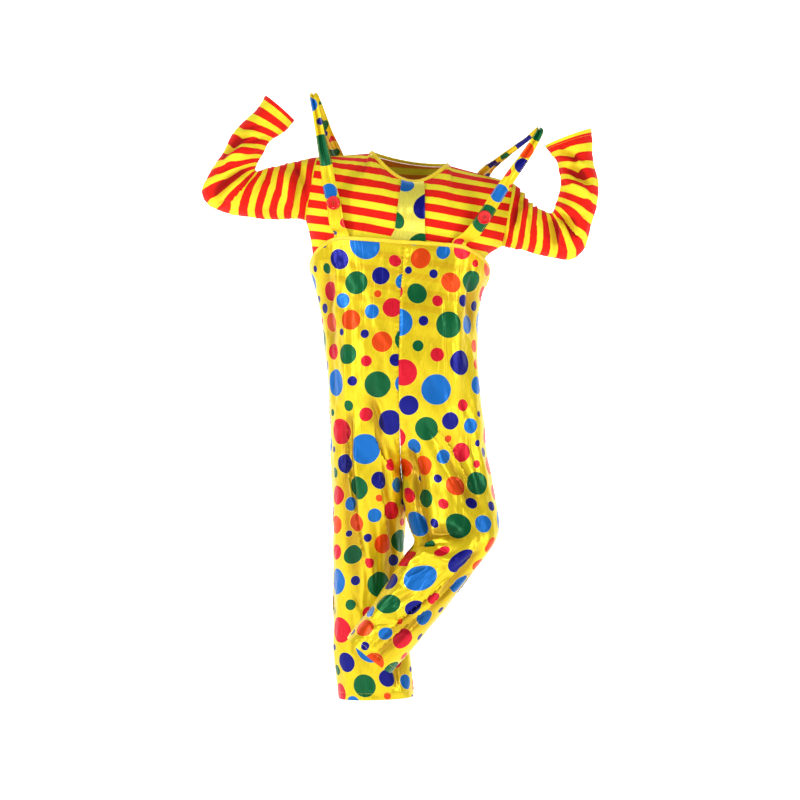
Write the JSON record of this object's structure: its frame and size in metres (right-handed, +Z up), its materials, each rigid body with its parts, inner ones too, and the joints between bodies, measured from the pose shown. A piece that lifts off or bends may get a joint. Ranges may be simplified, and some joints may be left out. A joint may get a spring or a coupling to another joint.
{
  "type": "clown costume, worn: striped shirt under dotted dungarees",
  "caption": "Hollow worn clown costume: striped long-sleeved shirt with a dotted placket, under wide dotted satin dungarees with pulled-up straps and a shin crossed in front.",
  "frame": {"origin": "between the wearer's shoulders, at the base of the neck, where the costume hangs on its wearer", "axes": "+Z up, -Y to the front of the costume, +X to the wearer's left"},
  "size_m": [0.95, 0.3556, 1.4692],
  "materials": {
    "striped_jersey": "matte printed jersey in red and yellow stripes",
    "dotted_satin": "glossy yellow satin with printed dots in many colours",
    "yellow_bias_tape": "folded satin tape, semi-gloss",
    "red_plastic": "glossy"
  },
  "bodies": {
    "root": {"shirt_front_right": "striped_jersey", "shirt_front_left": "striped_jersey", "shirt_back": "striped_jersey", "sleeve_right": "striped_jersey", "sleeve_left": "striped_jersey", "neck_binding": "yellow_bias_tape", "placket": "dotted_satin", "dungarees_front_right": "dotted_satin", "dungarees_front_left": "dotted_satin", "dungarees_back_right": "dotted_satin", "dungarees_back_left": "dotted_satin", "bib_binding": "yellow_bias_tape", "strap_right": "dotted_satin", "strap_left": "dotted_satin", "button_right": "red_plastic", "button_left": "red_plastic"}
  },
  "joints": []
}
